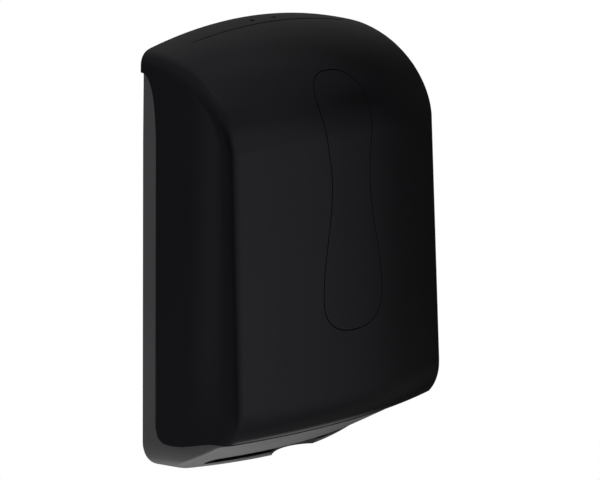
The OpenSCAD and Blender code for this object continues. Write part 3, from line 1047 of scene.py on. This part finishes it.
    def build_tray(self) -> Piece:
        """Makes tray and frame as one wall, and cuts the slot, the notch and the pockets.

        Returns:
            The piece.
        """
        skin, u, z = Skin(), self.stations(), self.levels()
        far, floor, top = self.side_cells[1], self.form.floor_z, self.hull_top_z
        raised = np.where(z < top, mix(floor + self.wall, top, (z - floor) / (top - floor)), z)
        rear, front = [], []
        for inner, heights in ((0.0, z), (self.wall, raised)):
            cup = self.tray(u[None, :], heights[:, None], inner)
            half = cup[0, :len(u) // 2 + 1]
            base = half[:, None] * spread(-linspace(-1, 1, self.base_points), 1.0, 1.0)
            arch = self.frame(-cup[-1, :far + 1, 1], inner)
            for part in (cup, base, arch):
                skin.sheet(part)
            rear.append(concatenate([cup[:-1, 0], arch[:-1, 0], cup[:0:-1, -1], base[0, :0:-1]]))
            front.append(concatenate([cup[-1, far:-far - 1], arch[:0:-1, -1]]))
        level = np.arange(len(front[0]))[:, None] < len(u) - 2 * far - 1
        skin.band(bead(*rear, array([0.0, 1.0, 0.0]), self.rear_bead))
        skin.band(bead(*front, np.where(level, [0.0, 0.0, 1.0], [0.0, -1.0, 0.0]), self.bead_r))
        piece = skin.make("tray_and_frame")
        carve(piece, [self.slot_cutter(), self.notch_cutter(), *self.pocket_cutters()], self.cut_round)
        return piece

    def slot_cutter(self) -> Piece:
        """Makes the solid of the towel slot: a stadium carried through the sloping front.

        Returns:
            A closed solid.
        """
        skin, r = Skin(), self.slot_h / 2
        turn, run = linspace(-pi / 2, pi / 2, self.slot_points), self.slot_half - r
        right = column_stack([run + r * cos(turn), r * sin(turn)])
        x, rise = concatenate([right, -right]).T
        mid_z = self.form.floor_z + self.lip_h + r
        loop = spread(x, self.slot_y, rise + mid_z)
        prism(skin, loop, spread(clip(x, -run, run), self.slot_y, mid_z), array([0, self.slot_way, 0]))
        return skin.make("slot_cutter")

    def notch_cutter(self) -> Piece:
        """Makes the solid of the finger notch: an upright cylinder at the lip.

        Returns:
            A closed solid.
        """
        r = (self.notch_half**2 + self.notch_d**2) / (2 * self.notch_d)
        y = self.notch_d - self.lip_d - self.notch_out - r
        way = self.notch_under + self.lip_h + self.notch_over
        return drill("notch_cutter", array([0, y, self.form.floor_z - self.notch_under]), 2, r, way,
                     self.notch_points)

    def pocket_cutters(self) -> list[Piece]:
        """Makes the solids of the round holes that the cover's bosses turn in.

        Returns:
            Closed solids, left and right.
        """
        (y, z), r = self.form.hinge, self.bush_r + self.pocket_gap
        x = self.form.hinge_in + self.pocket_out
        return [drill("pocket", array([s * x, -y, z]), 0, r, s * self.pocket_way, self.pocket_points)
                for s in SIDES]

    def build_plate(self) -> Piece:
        """Makes the back plate with its four screw holes.

        Returns:
            The piece.
        """
        skin, form, gap = Skin(), self.form, self.plate_gap
        o, keel_r, (h, s) = self.inset + gap, self.keel_r - gap, quarter(self.plate_keel)
        low = form.floor_z + gap + keel_r * s
        side = linspace(low[-1], form.shoulder_z, self.plate_side)[1:]
        tx, ty = form.top_section(o, 0.0, rows((1, FRONT_END, 0), self.plate_arch)[1:])
        left = concatenate([column_stack([o + keel_r * (1 - h) - form.half_width(low), low]),
                            column_stack([o - form.half_width(side), side]),
                            column_stack([tx, form.shoulder_z + ty])])
        x, z = concatenate([left, left[-2::-1] * [-1, 1]]).T
        loop = spread(x, 0.0, z)
        prism(skin, loop, loop * [0, 1, 1], array([0, -self.plate_t, 0]), self.plate_round)
        piece = skin.make("back_plate")
        places = [array([a * self.screw_dx / 2, self.screw_y, b * self.screw_dz / 2])
                  for a in SIDES for b in SIDES]
        carve(piece, [drill("screw_hole", place, 1, self.screw_r, self.screw_way, self.screw_points)
                      for place in places], self.plate_round)
        return piece

    def build_ribs(self) -> Piece:
        """Makes the ribs that hold the towels clear of the screw heads.

        Returns:
            The piece.
        """
        skin, foot = Skin(), self.form.floor_z + self.rib_foot
        front, rear = -self.plate_t - self.rib_deep, -self.plate_t + self.rib_sunk
        for x in self.rib_x:
            loop = bar_loop((x - self.rib_half, front), (x + self.rib_half, rear), self.rib_r, foot)
            middle = np.broadcast_to([x, (front + rear) / 2, foot], loop.shape)
            prism(skin, loop, middle, array([0, 0, self.screw_dz + self.rib_extra]), self.rib_end)
        return skin.make("towel_ribs")

    def build_seats(self) -> Piece:
        """Makes the hinge seats inside the tray: turned rings that hold the bushes.

        Returns:
            The piece.
        """
        skin = Skin()
        self.form.add_hinge_rings(skin, array(self.seat) + [0, self.bush_r])
        return skin.make("hinge_seats")


# Finishes


class Wiring:
    """Short words for building a node tree."""

    def __init__(self, tree: Tree) -> None:
        """Keeps the tree."""
        self.tree = tree

    def node(self, kind: str, values: dict | None = None, **settings: object) -> bpy.types.Node:
        """Adds a node.

        Args:
            kind: Node type, without the words that every shader node starts with.
            values: Input name or number to a value, or to a socket that is linked.
            settings: Properties of the node.

        Returns:
            The node.
        """
        made = self.tree.nodes.new(kind if kind.startswith("NodeGroup") else "ShaderNode" + kind)
        for name, value in settings.items():
            setattr(made, name, value)
        for name, value in (values or {}).items():
            if isinstance(value, Socket):
                self.tree.links.new(value, made.inputs[name])
            else:
                made.inputs[name].default_value = value
        return made

    def out(self, kind: str, values: dict | None = None, pick: str | int = 0,
            **settings: object) -> Socket:
        """Adds a node and gives one of its outputs, the first where none is named."""
        return self.node(kind, values, **settings).outputs[pick]

    def fade(self, value: Socket, start: float, end: float, top: float = 1.0) -> Socket:
        """Smooth step of a value, from zero at the start to the top at the end."""
        spans = {"Value": value, "From Min": start, "From Max": end, "To Max": top}
        return self.out("MapRange", spans, interpolation_type="SMOOTHSTEP")


def cleared(block: bpy.types.Material | bpy.types.World) -> Wiring:
    """Empties a material's or world's nodes.

    Args:
        block: The material or world.

    Returns:
        The wiring for its tree.
    """
    block.use_nodes = True
    block.node_tree.nodes.clear()
    return Wiring(block.node_tree)


def effect(name: str) -> tuple[Wiring, bpy.types.NodeOutputs]:
    """Starts a node group: a place and two scales come in, a height and a patch value go out.

    Args:
        name: Name of the group.

    Returns:
        The wiring for its tree and the group's inputs.
    """
    w = Wiring(bpy.data.node_groups.new(name, "ShaderNodeTree"))
    for key, way in (("Vector", "INPUT"), ("Fine", "INPUT"), ("Broad", "INPUT"),
                     ("Height", "OUTPUT"), ("Patch", "OUTPUT")):
        kind = "NodeSocketVector" if key == "Vector" else "NodeSocketFloat"
        w.tree.interface.new_socket(key, in_out=way, socket_type=kind)
    return w, w.node("NodeGroupInput").outputs


def moulded_grain() -> Tree:
    """Grain of a moulded surface: fine noise for height, broad noise for patches of tone.

    Returns:
        The node group.
    """
    w, start = effect("moulded_grain")
    fine = {"Vector": start["Vector"], "Scale": start["Fine"], "Detail": 2.0, "Roughness": 0.55}
    broad = {"Vector": start["Vector"], "Scale": start["Broad"], "Detail": 3.0, "Roughness": 0.5}
    w.node("NodeGroupOutput", {"Height": w.out("TexNoise", fine), "Patch": w.out("TexNoise", broad)})
    return w.tree


def drawn_lines() -> Tree:
    """Lines left by drawing or rolling: noise stretched along one direction.

    Returns:
        The node group.
    """
    w, start = effect("drawn_lines")
    scale = w.out("CombineXYZ", {"X": start["Broad"], "Y": start["Fine"], "Z": start["Fine"]})
    place = w.out("VectorMath", {0: start["Vector"], 1: scale}, operation="MULTIPLY")
    line = w.out("TexNoise", {"Vector": place, "Scale": 1.0, "Detail": 3.0})
    wide = w.out("TexNoise", {"Vector": place, "Scale": 0.22, "Detail": 2.0})
    w.node("NodeGroupOutput", {"Height": line, "Patch": wide})
    return w.tree


@dataclass(frozen=True)
class Finish:
    """A surface finish: colour with a little variation, gloss range and fine relief."""

    name: str
    colour: Triple
    tone: float
    gloss: Floats
    relief: float
    metal: float = 0.0
    specular: float = 0.5
    cast: Triple = (1.0, 1.0, 1.0)
    fine: float = 1800.0
    broad: float = 14.0
    drawn: bool = False

    def build(self, groups: dict[str, Tree]) -> bpy.types.Material:
        """Makes the material.

        Args:
            groups: Shared effects by name.

        Returns:
            A node material on Object coordinates.
        """
        material = bpy.data.materials.new(self.name)
        material.diffuse_color = (*self.colour, 1.0)
        w, (low, high) = cleared(material), PATCH_SPAN
        place = w.out("TexCoord", pick="Object")
        grain = w.node("Group", node_tree=groups["drawn_lines" if self.drawn else "moulded_grain"])
        w.tree.links.new(place, grain.inputs["Vector"])
        grain.inputs["Fine"].default_value = self.fine
        grain.inputs["Broad"].default_value = self.broad
        patch = grain.outputs["Patch"]
        ramp = w.node("ValToRGB", {"Fac": patch})
        for stop, at, share in zip(ramp.color_ramp.elements, PATCH_SPAN, (1 - self.tone, 1 + self.tone)):
            stop.position, stop.color = at, (*(c * share for c in self.colour), 1.0)
        rough = w.out("MapRange", {"Value": patch, "From Min": low, "From Max": high,
                                   "To Min": self.gloss[0], "To Max": self.gloss[1]})
        bump = w.out("Bump", {"Height": grain.outputs["Height"], "Strength": 1.0,
                              "Distance": self.relief * MM})
        shader = w.out("BsdfPrincipled", {
            "Base Color": ramp.outputs["Color"], "Roughness": rough, "Normal": bump,
            "Metallic": self.metal, "Specular IOR Level": self.specular,
            "Specular Tint": (*self.cast, 1.0)})
        w.node("OutputMaterial", {"Surface": shader})
        return material


FINISHES: dict[Slot, Finish] = {
    Slot.COVER: Finish("gloss_black_moulding", (0.0021, 0.0020, 0.0025), 0.12, (0.10, 0.16), 0.0006,
                       specular=0.56, cast=VIOLET_CAST, fine=260.0, broad=9.0),
    Slot.WINDOW: Finish("gloss_black_window", (0.0020, 0.0020, 0.0024), 0.10, (0.08, 0.13), 0.0005,
                        specular=0.56, cast=VIOLET_CAST, fine=240.0, broad=11.0),
    Slot.BODY: Finish("satin_grey_moulding", (0.046, 0.046, 0.049), 0.06, (0.40, 0.50), 0.010,
                      fine=1500.0),
    Slot.LOCK: Finish("satin_grey_lock_moulding", (0.050, 0.050, 0.053), 0.08, (0.42, 0.54), 0.010,
                      fine=1500.0),
    Slot.NYLON: Finish("natural_nylon", (0.74, 0.73, 0.69), 0.05, (0.38, 0.50), 0.008,
                       fine=1200.0, broad=60.0),
    Slot.RIVET: Finish("black_rivet_moulding", (0.018, 0.018, 0.019), 0.10, (0.40, 0.55), 0.008,
                       broad=80.0),
    Slot.STEEL: Finish("bright_rolled_steel", (0.60, 0.61, 0.63), 0.10, (0.18, 0.34), 0.002,
                       metal=1.0, broad=90.0, drawn=True),
    Slot.SPRING: Finish("drawn_spring_wire", (0.50, 0.51, 0.53), 0.12, (0.22, 0.38), 0.003,
                        metal=1.0, broad=200.0, drawn=True),
}

CAD_SLOTS: dict[str, Slot] = {
    "lock_housing": Slot.LOCK, "lock_screws": Slot.STEEL, "lock_slider": Slot.NYLON,
    "lock_spring_left": Slot.SPRING, "lock_spring_right": Slot.SPRING, "window_rivets": Slot.RIVET,
    "lock_keeper": Slot.STEEL, "hinge_pin_left": Slot.STEEL, "hinge_pin_right": Slot.STEEL,
    "hinge_bush_left": Slot.NYLON, "hinge_bush_right": Slot.NYLON,
}


# Studio


@dataclass(frozen=True)
class Glow:
    """A soft patch of painted reflection on the gloss-only sphere: direction, spread in degrees and
    level.
    """

    way: Triple
    spread: float
    level: float


@dataclass(frozen=True)
class Lamp:
    """A large soft lamp that faces the object: place, size and power."""

    name: str
    place: Triple
    size: float
    power: float


def stand(thing: Piece, axes: list[Array], place: Triple) -> None:
    """Puts a camera or lamp into the scene.

    Args:
        thing: The camera or lamp.
        axes: Directions of its own three axes.
        place: Where it stands.
    """
    pose = np.eye(4)
    pose[:3, :3] = column_stack(axes)
    pose[:3, 3] = place
    thing.matrix_world = Matrix(pose.tolist())
    bpy.context.scene.collection.objects.link(thing)


def set_piece(name: str, grid: Array, lit: bool) -> Wiring:
    """Makes a sheet that belongs to the set, with an empty material of its own.

    Args:
        name: Name of the sheet and its material.
        grid: Points of the sheet in metres.
        lit: Whether it is a sheet of light that only gloss shows, or one that gloss leaves out.

    Returns:
        The wiring for its material.
    """
    skin, material = Skin(), bpy.data.materials.new(name)
    skin.sheet(grid / MM)
    piece = skin.make(name)
    piece.data.materials.append(material)
    piece.visible_glossy = lit
    if lit:
        material.cycles.emission_sampling = "NONE"
        piece.visible_camera = piece.visible_diffuse = piece.visible_shadow = False
        piece.visible_transmission = piece.visible_volume_scatter = False
    return cleared(material)


@dataclass
class Studio:
    """Pale floor, a sphere of painted reflection round the set, soft lamps and the camera."""

    eye: Triple = (-1.913536, -1.913749, 0.583998)
    yaw: float = 45.90888
    pitch: float = 12.40182
    lens: float = 187.0619
    sensor: float = 36.0
    sight: float = 50.0
    floor_y: float = -0.06
    floor_z: float = -0.46
    floor_r: float = 0.75
    floor_tone: float = 0.82
    floor_points: Ints = (97, 9)
    floor_power: float = 0.7
    # Sphere of painted reflection, seen only in gloss: radius, dim glow everywhere and grid.
    reflection_sphere_r: float = 3.4
    reflection_sphere_level: float = 0.021
    reflection_sphere_points: Ints = (65, 33)
    strip_x: float = -0.25
    strip_y: Floats = (0.003, 0.040)
    strip_z: Floats = (-0.21, 0.16)
    strip_fades: Triple = (0.3, 0.3, 0.2)
    strip_level: float = 0.075
    strip_points: Ints = (9, 17)
    fill: float = 0.55
    lamps: tuple[Lamp, ...] = (
        Lamp("lamp_left", (-1.6, -0.9, 0.5), 1.1, 9.0),
        Lamp("lamp_above", (0.2, -0.8, 1.9), 1.4, 16.0),
    )
    # Patches of painted reflection on that sphere, seen only in the gloss of the object.
    glows: tuple[Glow, ...] = (
        Glow((0.17, -0.98, 0.0), 55.0, 0.166),
        Glow((0.17, -0.98, 0.0), 35.0, 0.055),
        Glow((-0.38, 0.32, 0.87), 80.0, 0.156),
        Glow((-0.50, 0.0, -0.87), 80.0, 0.138),
        Glow((0.38, 0.66, 0.64), 55.0, 0.076),
        Glow((0.38, -0.32, 0.87), 35.0, 0.096),
        Glow((0.38, -0.66, -0.64), 55.0, 0.091),
        Glow((0.88, -0.32, 0.34), 35.0, 0.020),
        Glow((-0.13, -0.75, 0.64), 55.0, 0.078),
        Glow((0.36, 0.32, -0.88), 28.0, 1.3),
        Glow((-0.20, 0.70, -0.68), 40.0, 0.41),
        Glow((0.24, -0.95, -0.19), 9.0, 0.060),
    )

    def build_camera(self) -> None:
        """Sets the camera at the photograph's angle: forward from yaw and pitch, with no roll."""
        turn, dip = radians(self.yaw), radians(self.pitch)
        ahead = array([sin(turn) * cos(dip), cos(turn) * cos(dip), -sin(dip)])
        right = array([cos(turn), -sin(turn), 0.0])
        data = bpy.data.cameras.new("camera")
        data.lens, data.sensor_width, data.sensor_fit = self.lens, self.sensor, "HORIZONTAL"
        data.clip_end = self.sight
        camera = bpy.data.objects.new("camera", data)
        stand(camera, [right, np.cross(right, ahead), -ahead], self.eye)
        bpy.context.scene.camera = camera

    def build_floor(self) -> None:
        """Makes the floor: a disc on a polar grid, white to the camera and shaded to the rest."""
        across, out = self.floor_points
        turn, r = np.meshgrid(linspace(0, 2 * pi, across), linspace(0, 1, out) ** self.floor_power)
        x, y = cos(turn) * r * self.floor_r, sin(turn) * r * self.floor_r + self.floor_y
        w = set_piece("floor", spread(x, y, self.floor_z), False)
        paint = w.out("BsdfDiffuse", {"Color": (*[self.floor_tone] * 3, 1.0)})
        white = w.out("Emission", {"Color": WHITE, "Strength": 1.0})
        seen = w.out("LightPath", pick="Is Camera Ray")
        w.node("OutputMaterial", {"Surface": w.out("MixShader", {0: seen, 1: paint, 2: white})})

    def build_reflection_sphere(self) -> None:
        """Hangs a sphere of painted reflection round the set, which only gloss shows: a dim glow
        everywhere, brighter by a smooth step about each glow.
        """
        across, up = self.reflection_sphere_points
        turn, rise = np.meshgrid(linspace(0, 2 * pi, across), radians(linspace(-90, 90, up)))
        ball = spread(cos(turn) * cos(rise), sin(turn) * cos(rise), sin(rise))
        # Painted reflection: the sphere glows, and only the gloss of the object shows it.
        w = set_piece("painted_reflection_sphere", ball * self.reflection_sphere_r, True)
        ray = w.out("VectorMath", {0: w.out("TexCoord", pick="Object")}, operation="NORMALIZE")
        level: Socket | float = self.reflection_sphere_level
        for glow in self.glows:
            way = tuple(unit(array(glow.way)))
            near = w.out("VectorMath", {0: ray, 1: way}, "Value", operation="DOT_PRODUCT")
            part = w.fade(near, float(cos(radians(glow.spread))), 1.0, glow.level)
            level = w.out("Math", {0: level, 1: part}, operation="ADD")
        light = w.out("Emission", {"Color": WHITE, "Strength": level})
        w.node("OutputMaterial", {"Surface": light})

    def build_strip(self) -> None:
        """Stands a narrow strip of light by the side.

        Its level rises sharply at its front edge and falls off softly behind and below.
        """
        (y0, y1), (z0, z1), (across, up) = self.strip_y, self.strip_z, self.strip_points
        rear, low, high = self.strip_fades
        grid = spread(self.strip_x, linspace(y0, y1, across), linspace(z0, z1, up)[:, None])
        w = set_piece("side_strip", grid, True)
        place = w.node("SeparateXYZ", {0: w.out("TexCoord", pick="Object")}).outputs
        level: Socket | float = self.strip_level
        for axis, start, end in (("Y", y1, mix(y0, y1, rear)), ("Z", z0, mix(z0, z1, low)),
                                 ("Z", z1, mix(z1, z0, high))):
            part = w.fade(place[axis], start, end)
            level = w.out("Math", {0: level, 1: part}, operation="MULTIPLY")
        light = w.out("Emission", {"Color": WHITE, "Strength": level})
        both = w.out("AddShader", {0: light, 1: w.out("BsdfTransparent")})
        w.node("OutputMaterial", {"Surface": both})

    def build_world(self) -> None:
        """Lights the set from all round, and shows white behind the object."""
        world = bpy.context.scene.world = bpy.data.worlds.new("studio")
        w = cleared(world)
        path = w.node("LightPath").outputs
        seen = path["Is Camera Ray"]
        for ray in ("Is Glossy Ray", "Is Transmission Ray"):
            seen = w.out("Math", {0: seen, 1: path[ray]}, operation="MAXIMUM")
        fill, white = [w.out("Background", {"Color": WHITE, "Strength": level})
                       for level in (self.fill, 1.0)]
        w.node("OutputWorld", {"Surface": w.out("MixShader", {0: seen, 1: fill, 2: white})})

    def build_lamps(self) -> None:
        """Hangs the lamps so that each faces the object."""
        for lamp in self.lamps:
            data = bpy.data.lights.new(lamp.name, "AREA")
            data.shape, data.size, data.energy = "DISK", lamp.size, lamp.power
            made = bpy.data.objects.new(lamp.name, data)
            made.visible_glossy = False
            back = unit(array(lamp.place))
            side = unit(np.cross([0.0, 0.0, 1.0], back))
            stand(made, [side, np.cross(back, side), back], lamp.place)

    def build(self) -> None:
        """Sets up the whole studio."""
        bpy.context.scene.view_settings.view_transform = "Standard"
        self.build_camera()
        self.build_floor()
        self.build_reflection_sphere()
        self.build_strip()
        self.build_world()
        self.build_lamps()


# Assembly


def dress(piece: Piece, body: Body, slot: Slot, materials: dict[Slot, bpy.types.Material]) -> None:
    """Gives a new piece its finish, its body and its slot, and reports it.

    Args:
        piece: The piece.
        body: Body that it rides on.
        slot: Slot that its finish belongs to.
        materials: Materials by slot.
    """
    piece.data.materials.clear()
    piece.data.materials.append(materials[slot])
    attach(piece, body.value)
    log.info("%s: %d faces on %s", piece.name, len(piece.data.polygons), body.value)


def main() -> None:
    """Builds the studio and the dispenser, piece by piece."""
    logging.basicConfig(level=logging.INFO, format="%(message)s")
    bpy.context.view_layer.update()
    Studio().build()
    groups = {group.name: group for group in (moulded_grain(), drawn_lines())}
    materials = {slot: finish.build(groups) for slot, finish in FINISHES.items()}
    shell = FrontCover().build()
    dress(shell, Body.COVER, Slot.COVER, materials)
    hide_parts("front_cover")
    pane = SightWindow().build()
    dress(pane, Body.COVER, Slot.WINDOW, materials)
    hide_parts("sight_window")
    rear = RearBody()
    tray = rear.build_tray()
    dress(tray, Body.REAR, Slot.BODY, materials)
    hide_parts("rear_body")
    for piece in (rear.build_plate(), rear.build_ribs(), rear.build_seats()):
        dress(piece, Body.REAR, Slot.BODY, materials)
    for node, slot in CAD_SLOTS.items():
        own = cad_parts[node].data.materials
        own.clear()
        own.append(materials[slot])
        log.info("%s: CAD node in %s", node, slot.value)


if __name__ == "__main__":
    main()
